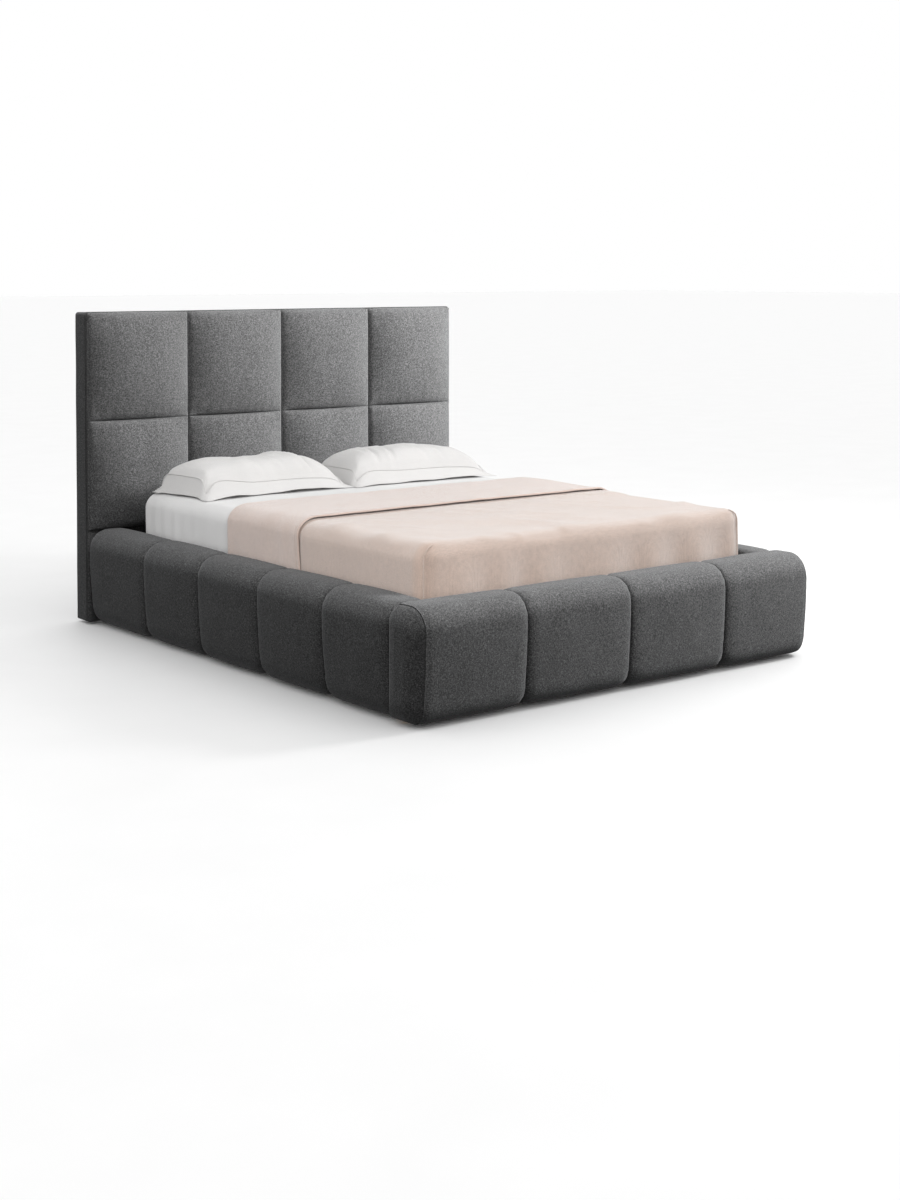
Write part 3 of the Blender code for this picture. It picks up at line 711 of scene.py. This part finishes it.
def make_headboard():
    for column in range(1, 5):
        headboard_pad(f"headboard_pad_lower_{column}", is_top=False)
        headboard_pad(f"headboard_pad_upper_{column}", is_top=True)
    low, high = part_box("headboard_panel")
    cover = rounded_box("headboard_board_cover", low, high, (0.012, 0.008, 0.006, 0.012, 0.012, 0.014),
                        0.03, grey)
    points, normals = points_of(cover), normals_of(cover)
    set_points(cover, points + normals * (0.0008 * cloud(points, 0.15, 4))[:, None])
    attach(cover, "bed_frame")
    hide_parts("headboard_panel")
    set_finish(cover, "grey_fabric")
    # two seams run up the narrow side strip, over the top and down the other side
    seams = []
    side, bend = low.x - 0.0006, 0.014
    for i, y in enumerate((low.y + 0.006, low.y + 0.015)):
        path = [(side, y, low.z + 0.01), (side, y, high.z - bend)]
        path += [(low.x + bend - bend * math.cos(a), y, high.z - bend + bend * math.sin(a))
                 for a in np.linspace(0.2, math.pi / 2, 6)]
        path += [(-x, yy, zz) for x, yy, zz in reversed(path)]
        seams.append(bead(f"headboard_board_seam_{i + 1}", path, seam_bead, grey_seam))
    inset = 0.030
    back = high.y + 0.0002
    corners = [(low.x + inset, low.z + inset), (high.x - inset, low.z + inset),
               (high.x - inset, high.z - inset), (low.x + inset, high.z - inset)]
    path = [(x, back, z) for x, z in corners]
    seams.append(bead("headboard_back_seam", path, 0.0016, grey_seam, closed=True))
    for seam in seams:
        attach(seam, "bed_frame")
        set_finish(seam, "grey_fabric")


# ------------------------------ mattress and fitted sheet
def make_mattress():
    low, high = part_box("mattress")
    body = rounded_box("mattress_body", [v + mattress_inset for v in low], [v - mattress_inset for v in high],
                       0.055, 0.06, ticking)
    points = points_of(body)
    quilt = np.sin(points[:, 0] * math.pi / quilt_step) * np.sin(points[:, 1] * math.pi / quilt_step)
    under = points[:, 2] < low.z + 0.02
    points[:, 2] += np.where(under, 0.0022 * quilt + 0.001, 0.0)
    set_points(body, points)
    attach(body, "lift_base")
    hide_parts("mattress")
    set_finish(body, "ticking")

    edges = (sheet_edge, sheet_end_edge, 0.03, sheet_edge, sheet_end_edge, sheet_edge)
    sheet = rounded_box("fitted_sheet", (low.x, low.y, low.z + 0.0005), high, edges, 0.022, white)
    bm = bmesh.new()
    bm.from_mesh(sheet.data)
    gone = [f for f in bm.faces if f.calc_center_median().z < low.z + 0.004
            and low.x + sheet_tuck < f.calc_center_median().x < high.x - sheet_tuck
            and low.y + sheet_tuck < f.calc_center_median().y < high.y - sheet_tuck]
    bmesh.ops.delete(bm, geom=gone, context="FACES")
    bm.to_mesh(sheet.data)
    bm.free()
    points, normals = points_of(sheet), normals_of(sheet)
    x, y, z = points.T
    side = ease(np.abs(x), high.x - 0.03, high.x) * ease(z, low.z + 0.02, low.z + 0.10)
    head = ease(y, 0.30, 0.75)
    gather = np.sin(y * 2 * math.pi / 0.085 + 2.2 * cloud(points, 0.3, 9))
    gather *= 0.6 + 0.4 * cloud(points, 0.12, 10)
    fold = 0.0055 * side * head * gather * (1 - 0.5 * ease(z, high.z - 0.10, high.z))
    top = ease(z, high.z - 0.02, high.z)
    slack = 0.0022 * top * cloud(points * (1.0, 2.4, 1.0), 0.22, 11)
    slack += 0.0012 * top * cloud(points, 0.09, 12)
    set_points(sheet, points + normals * (fold + slack - 0.0008)[:, None])
    thicken(sheet, sheet_thickness)
    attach(sheet, "lift_base")
    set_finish(sheet, "white_cotton")


# ------------------------------ coverlet and its turned-down band
def make_coverlet():
    low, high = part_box("coverlet")
    foot, head, top, hem = low.y, high.y - cover_fold, high.z, low.z
    edges = (cover_edge, cover_foot_edge, 0.002, cover_edge, 0.004, cover_foot_edge)
    cover = rounded_box("coverlet_main", (-cover_side, foot, hem), (cover_side, head, top), edges, 0.016,
                        cover_cloth, skip=("z-", "y+"),
                        extra=band_hem + hem_groove * np.array([-2.5, -1.6, -1.0, -0.5, 0.0, 0.6]))
    points, normals = points_of(cover), normals_of(cover)
    x, y, z = points.T
    on_top = ease(normals[:, 2], 0.4, 0.9)
    on_foot = ease(-normals[:, 1], 0.5, 0.95)
    on_side = ease(np.abs(normals[:, 0]), 0.5, 0.95)
    slanted = np.column_stack([x * 0.8 + y * 0.6, (y * 0.8 - x * 0.6) * 0.35, z])
    wrinkle = on_top * (0.0090 * cloud(slanted, 0.20, 13) + 0.0042 * cloud(slanted * (1, 2, 1), 0.07, 14)
                        - 0.0200 * np.abs(cloud(slanted * (1, 1.3, 1), 0.13, 22)) + 0.0060)
    wrinkle = np.maximum(wrinkle, -0.003)
    hang = 1 - ease(z, top - 0.16, top - 0.02)
    folds = np.sin(x * 2 * math.pi / 0.24 + 2.8 * cloud(points * (1, 1, 0.15), 0.4, 15))
    strength = 0.6 + 0.4 * ease(x, -0.35, 0.45)
    drape = on_foot * hang * (0.0075 * folds * strength + 0.003 * cloud(points * (1, 1, 0.3), 0.14, 16))
    sway = on_side * hang * 0.0016 * cloud(points * (1, 1, 0.3), 0.22, 17)
    # side flaps lie over the foot drop: a step at the corner that fades out towards the top edge
    corner = foot + cover_foot_edge * 0.35
    down = 1 - ease(z, top - 0.075, top - 0.035)
    outside = np.abs(x) > cover_side - cover_edge * 0.75
    under_band = ease(y, band_hem - 0.03, band_hem + 0.01)
    wrinkle *= 1 - under_band
    sway *= 1 - under_band
    flap = np.where(outside & (y > corner), 1.0, 0.0) * down * (1 - under_band)
    side_step = 0.0042 * flap * ease(y, corner - 0.001, corner + 0.001)
    groove = -0.010 * down * np.exp(-((y - corner + 0.006) / 0.005) ** 2) * outside
    groove -= 0.0045 * np.exp(-((y - band_hem + 0.5 * hem_groove) / hem_groove) ** 2)
    set_points(cover, points + normals * (wrinkle + drape + sway + side_step + groove)[:, None])
    thicken(cover, cover_thickness)
    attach(cover, "lift_base")
    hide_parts("coverlet")
    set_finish(cover, "linen")
    # the side flaps end in a folded edge beside each foot corner, bent in over the top edge
    corner_x = cover_side - cover_edge * (1 - math.sqrt(1 - 0.65 ** 2)) + cover_edge_radius
    bend = ((0.004, -0.001, 0.040), (0.014, -0.002, 0.024), (0.028, 0.0, 0.014), (0.044, 0.003, 0.008))
    for side, word in ((-1, "left"), (1, "right")):
        path = [(side * corner_x, corner, z) for z in np.linspace(hem + 0.01, top - 0.060, 6)]
        path += [(side * (corner_x - inward), corner + on, top - down_by) for inward, on, down_by in bend]
        edge = bead(f"coverlet_corner_edge_{word}", path, cover_edge_radius, cover_cloth)
        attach(edge, "lift_base")
        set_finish(edge, "linen")
    make_band(head, top, hem)


def make_band(head, top, hem):
    """The coverlet's head end folded back over it: a strip across the bed with a stitched hem."""
    arc = [(math.cos(a), math.sin(a)) for a in np.linspace(0, math.pi / 2, 10)]
    inner_x, inner_z = cover_side - cover_edge, top - cover_foot_edge
    left = [(-inner_x - cover_edge * c, inner_z + cover_foot_edge * s, -c, s) for c, s in arc]
    right = [(-x, z, -nx, nz) for x, z, nx, nz in reversed(left)]
    rise = np.linspace(hem + 0.004, inner_z, 12)[:-1]
    across = np.linspace(-inner_x, inner_x, 90)[1:-1]
    # the line that it follows over the bed, each point with the way it faces
    line = np.array([(-cover_side, z, -1.0, 0.0) for z in rise] + left
                    + [(x, top, 0.0, 1.0) for x in across] + right
                    + [(cover_side, z, 1.0, 0.0) for z in reversed(rise)])
    # its section along the bed, from the stitched hem to the fold: place and height
    profile = [(band_hem + 0.010, 0.0074), (band_hem + 0.002, 0.0070), (band_hem - 0.001, 0.0094),
               (band_hem + 0.002, band_rise + 0.0016), (band_hem + 0.008, band_rise + 0.0024),
               (band_hem + 0.013, band_rise + 0.0016), (band_hem + 0.0155, band_rise - 0.0008),
               (band_hem + 0.018, band_rise + 0.0004)]
    profile += [(y, band_rise) for y in np.linspace(band_hem + 0.03, head - 0.016, 26)]
    for a in np.radians(np.linspace(80, -70, 8)):
        profile.append((head - 0.004 + 1.2 * band_roll * math.cos(a),
                        band_rise - band_roll + band_roll * math.sin(a)))
    rows = []
    for y, rise_here in profile:
        spots = np.column_stack([line[:, 0], np.full(len(line), y), line[:, 1]])
        normal = np.column_stack([line[:, 2] * 0.75, np.zeros(len(line)), line[:, 3]])
        loose = ease(y, band_hem, band_hem + 0.05) * ease(-y, -head, -head + 0.05)
        wave = (0.0050 * cloud(spots * (1, 0.5, 1), 0.2, 18) + 0.0024 * cloud(spots, 0.07, 19)
                - 0.0060 * np.abs(cloud(spots * (0.6, 1, 1), 0.10, 24)) + 0.0016)
        edge_wave = 0.004 * cloud(spots * (1, 0, 0.3), 0.35, 20)
        hang = np.clip(top - spots[:, 2], 0, 0.3)
        spots[:, 1] -= 0.10 * hang * ease(-y, -head, -band_hem)
        spots[:, 1] += edge_wave * line[:, 3]
        rows.append(spots + normal * (rise_here + wave * (0.4 + 0.6 * loose))[:, None])
    band = surface("coverlet_band", np.concatenate(rows), lattice_faces(len(rows), len(line)), band_cloth_lightened)
    thicken(band, band_thickness)
    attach(band, "lift_base")
    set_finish(band, "linen")


# ------------------------------ pillows
def inflate(piece, pinned):
    """Lets cloth swell under pressure from inside, its pinned border held still."""
    before = points_of(piece)
    group = piece.vertex_groups.new(name="seam")
    group.add([int(i) for i in pinned], 1.0, "REPLACE")
    cloth = piece.modifiers.new("swell", "CLOTH")
    settings = cloth.settings
    settings.quality = 7
    settings.mass = 0.25
    settings.tension_stiffness = 14
    settings.compression_stiffness = 14
    settings.shear_stiffness = 6
    settings.bending_stiffness = 0.12
    settings.use_pressure = True
    settings.uniform_pressure_force = pillow_pressure
    settings.shrink_min = pillow_shrink
    settings.vertex_group_mass = "seam"
    settings.effector_weights.gravity = 0
    cloth.collision_settings.use_collision = False
    cloth.point_cache.frame_start = 1
    cloth.point_cache.frame_end = pillow_frames
    for step in range(1, pillow_frames + 1):
        scene.frame_set(step)
    swollen = bpy.data.meshes.new_from_object(piece.evaluated_get(bpy.context.evaluated_depsgraph_get()))
    after = read_vectors(swollen)
    piece.modifiers.clear()
    scene.frame_set(1)
    bpy.data.meshes.remove(swollen)
    moved = after - before
    far = np.linalg.norm(moved, axis=1, keepdims=True)
    moved *= np.minimum(1.0, pillow_swell / np.maximum(far, 1e-9))
    set_points(piece, before + moved)


def pillow(node, shift, turn, seed, ends, creases):
    """An oxford pillow: a boxy swollen body inside a stitched line and a flat flange that droops at the
    corners. `ends` says, for the low and the high x end, how high the stitched line is, how boxy the body
    is and how wide the flange looks, as a share. `creases` are valleys: from one spot of the body to
    another, in half widths and half depths, then how deep and how wide."""
    low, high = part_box(node)
    middle = np.array([(low.x + high.x) / 2 + shift[0], (low.y + high.y) / 2 + shift[1]])
    half = np.array([(high.x - low.x) / 2, (high.y - low.y) / 2]) - pillow_flange - pillow_play
    even = [np.linspace(-1, 1, count) for count in pillow_grid]
    s, t = (0.75 * steps + 0.25 * np.sin(steps * math.pi / 2) for steps in even)
    gs, gt = (g.ravel() for g in np.meshgrid(s, t, indexing="ij"))
    x = gs * half[0] - 0.010 * (1 - gt ** 2) * np.sign(gs) * np.abs(gs) ** 3
    y = gt * half[1] - 0.010 * (1 - gs ** 2) * np.sign(gt) * np.abs(gt) ** 3
    (low_seam, low_power, low_flange), (high_seam, high_power, high_flange) = ends
    seam = pillow_seam_height + (low_seam - pillow_seam_height) * ease(-gs, 0.2, 1.0)
    seam += (high_seam - pillow_seam_height) * ease(gs, 0.2, 1.0)
    seam *= 1 - 0.70 * (gs * gt) ** 10
    power = np.where(gs < 0, low_power, high_power)
    body = np.maximum(1 - np.abs(gs) ** power, 0) ** 0.5 * np.maximum(1 - np.abs(gt) ** 3.4, 0) ** 0.5
    z = seam + (pillow_crown - seam) * body * (1 - 0.06 * gs ** 2)
    faces = lattice_faces(*pillow_grid)
    crown = surface(node, np.column_stack([x, y, z]), faces, pillow_cloth_darkened, angle=80)
    on_rim = np.where((np.abs(gs) > 0.999) | (np.abs(gt) > 0.999))[0]
    inflate(crown, on_rim)
    points = points_of(crown)
    spots = points + (seed, 0, 0)
    inside = ease(1 - np.maximum(np.abs(gs), np.abs(gt)), 0.0, 0.10)
    points[:, 2] += inside * (0.005 * cloud(spots, 0.15, seed) + 0.0022 * cloud(spots, 0.05, seed + 1)
                              - 0.0075 * np.abs(cloud(spots * (1, 0.45, 1), 0.085, seed + 3)))
    for start, stop, depth, wide in creases:
        start, stop = np.array(start), np.array(stop)
        way = stop - start
        along = np.clip(((gs - start[0]) * way[0] + (gt - start[1]) * way[1]) / (way @ way), 0, 1)
        off = ((gs - start[0] - along * way[0]) * half[0], (gt - start[1] - along * way[1]) * half[1])
        side = np.sign(off[0] * way[1] - off[1] * way[0])
        far = np.hypot(*off)
        fade = np.sin(math.pi * (0.12 + 0.76 * along)) ** 0.6 * inside
        points[:, 2] -= fade * depth * np.exp(-(far / wide) ** 2)
        points[:, 2] += 0.6 * fade * depth * np.exp(-((far - 1.7 * wide) / (1.2 * wide)) ** 2) * (side > 0)

    # the flange: rings outward from the rim, round its edge and back in over the underside
    rim = rim_of(*pillow_grid)
    loop = points[rim]
    square = np.column_stack([gs[rim], gt[rim]])
    way = np.where(np.abs(square) > 0.999, np.sign(square), 0.0)
    near_corner = np.abs(square).min(axis=1) ** 6
    wavy = cloud(loop * (1, 1, 0) + (seed, 0, 0), 0.11, seed + 2)
    reach = pillow_flange * (1 + 0.25 * near_corner)
    reach_x = reach * np.where(square[:, 0] < 0, low_flange, high_flange)
    tall = loop[:, 2]
    low_edge = 0.0085 * (1 - near_corner) * (1 + 0.8 * wavy) + 0.0025
    droop = tall - low_edge
    rings = []

    def flange_ring(out, height):
        ring = loop.copy()
        ring[:, :2] += way * out * np.column_stack([reach_x, reach])
        ring[:, 2] = height
        rings.append(ring)

    for out, share in ((0.05, 0.07), (0.12, 0.05), (0.32, 0.24), (0.56, 0.52), (0.80, 0.82), (1.0, 1.0)):
        flange_ring(out, tall - share * droop)
    flange_ring(1.0, low_edge - flange_thickness)
    for out, share in ((0.78, 0.82), (0.50, 0.56), (0.22, 0.42)):
        flange_ring(out, np.maximum(tall - share * droop - 0.003, pillow_floor_gap))
    for inset, share in ((0.03, 0.25), (0.07, 0.08), (0.13, 0.03)):
        rings.append(np.column_stack([loop[:, :2] * (1 - inset / half),
                                      np.maximum(share * tall, pillow_floor_gap)]))
    rings.append(np.column_stack([loop[:, :2] * (0.5, 0.05), np.maximum(0.02 * tall, pillow_floor_gap)]))
    all_points = list(points)
    previous = rim
    for ring in rings:
        fresh = list(range(len(all_points), len(all_points) + len(rim)))
        all_points.extend(ring)
        faces += ring_faces(fresh, previous)
        previous = fresh
    faces.append(tuple(reversed(previous)))
    bpy.data.objects.remove(crown)
    piece = outward(surface(node + "_filled", all_points, faces, pillow_cloth_darkened, angle=70))
    stitched_line = loop + 0.0012 * np.column_stack([way, np.ones(len(loop))])
    stitch = bead(node + "_stitch", stitched_line, seam_bead, pillow_cloth_darkened, closed=True)
    cos, sin = math.cos(math.radians(turn)), math.sin(math.radians(turn))
    turned = np.array([(cos, sin, 0), (-sin, cos, 0), (0, 0, 1)])
    for part in (piece, stitch):
        set_points(part, points_of(part) @ turned + (*middle, low.z))
    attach(stitch, "lift_base")
    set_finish(stitch, "white_cotton")
    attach(piece, "lift_base")
    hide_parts(node)
    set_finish(piece, "white_cotton")


# ------------------------------ CAD nodes that stay
def dress_cad():
    slots = {part["node"]: part["material_slot"] for part in frame["record"]["subparts"]}
    for node, shape in frame["nodes"].items():
        look = cad_looks.get(slots[node])
        if look is None or shape.hide_render:
            continue
        if isinstance(look, dict):
            low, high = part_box(node)
            look = look["X" if high.x - low.x > high.y - low.y else "Y"]
        shape.data.materials.clear()
        shape.data.materials.append(look)


# ------------------------------ camera, light and floor
def make_camera():
    data = bpy.data.cameras.new("camera")
    camera = bpy.data.objects.new("camera", data)
    scene.collection.objects.link(camera)
    camera.location = camera_place
    camera.rotation_euler = (math.radians(90 + camera_pitch), 0, -math.radians(camera_yaw))
    data.lens = camera_lens
    data.sensor_width = 36
    data.shift_y = camera_shift
    scene.camera = camera


def area_light(name, place, target, size, power, only=()):
    """A soft light. With `only`, it lights just those pieces."""
    data = bpy.data.lights.new(name, "AREA")
    data.shape = "RECTANGLE"
    data.size, data.size_y = size
    data.energy = power
    light = bpy.data.objects.new(name, data)
    light.visible_camera = False
    if only:
        lit = bpy.data.collections.new(name + "_lights")
        for piece in only:
            lit.objects.link(piece)
        light.light_linking.receiver_collection = lit
    scene.collection.objects.link(light)
    light.location = place
    light.rotation_euler = (Vector(target) - Vector(place)).to_track_quat("-Z", "Y").to_euler()


def make_studio():
    n = Nodes("studio_floor")
    n.finish(n.greys(n.noise(3, 3.0), (0.3, 0.95), (0.7, 0.97)), 0.6, n.bump(n.noise(60, 3.0), 0.0004, 0.2))
    far = 90
    floor = surface("studio_floor", [(-far, -far, 0), (far, -far, 0), (far, far, 0), (-far, far, 0)],
                    [(0, 1, 2, 3)], n.material)
    floor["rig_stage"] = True
    floor.visible_diffuse = False
    world = bpy.data.worlds.new("studio")
    scene.world = world
    world.use_nodes = True
    # an even white sky over a dark ground
    tree = world.node_tree
    way = tree.nodes.new("ShaderNodeTexCoord").outputs["Generated"]
    split = tree.nodes.new("ShaderNodeSeparateXYZ")
    tree.links.new(way, split.inputs["Vector"])
    sky = tree.nodes.new("ShaderNodeMapRange")
    tree.links.new(split.outputs["Z"], sky.inputs["Value"])
    for socket, value in (("From Min", -0.12), ("From Max", -0.03), ("To Min", 0.15), ("To Max", 1.0)):
        sky.inputs[socket].default_value = value
    tree.links.new(sky.outputs["Result"], tree.nodes["Background"].inputs["Color"])
    tree.nodes["Background"].inputs["Strength"].default_value = 1.0
    upholstery = [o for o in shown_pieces() if o.get("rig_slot") == "grey_fabric"]
    headboard = [o for o in upholstery if o.name.startswith("headboard_pad")]
    rails = [o for o in upholstery if o not in headboard]
    bedding = [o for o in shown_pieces() if o.get("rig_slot") in ("white_cotton", "linen")]
    area_light("key", key_place, key_aim, (0.9, 0.9), 62)
    area_light("headboard_key", headboard_key_place, headboard_key_aim, (1.2, 1.2), 1620, only=headboard)
    area_light("rail_key", rail_key_place, key_aim, (1.5, 1.5), 750, only=rails)
    area_light("bedding_fill", fill_place, fill_aim, (2.0, 2.0), 62, only=bedding)
    area_light("upholstery_top", top_place, top_aim, (2.4, 2.4), 410, only=upholstery)
    scene.view_settings.view_transform = "Standard"


left_pillow_ends = ((0.086, 8.0, 0.55), (0.048, 3.6, 1.1))
left_pillow_creases = (
    ((0.40, 0.45), (0.62, -0.98), 0.020, 0.014),
    ((-0.30, 0.2), (-0.12, -0.9), 0.006, 0.014),
    ((0.05, 0.3), (0.22, -0.9), 0.005, 0.014),
)
right_pillow_ends = ((0.070, 6.0, 0.6), (0.048, 4.0, 1.1))
right_pillow_creases = (
    ((-0.50, 0.3), (-0.62, -0.95), 0.010, 0.014),
    ((-0.25, 0.2), (-0.38, -0.95), 0.009, 0.013),
    ((0.0, 0.4), (0.16, -0.9), 0.006, 0.014),
    ((0.35, 0.2), (0.42, -0.9), 0.005, 0.014),
)

make_camera()
make_rails()
make_headboard()
make_mattress()
make_coverlet()
pillow("pillow_left", (0.020, 0.026), 2.8, 31, left_pillow_ends, left_pillow_creases)
pillow("pillow_right", (0.010, 0.006), -1.8, 47, right_pillow_ends, right_pillow_creases)
dress_cad()
make_studio()
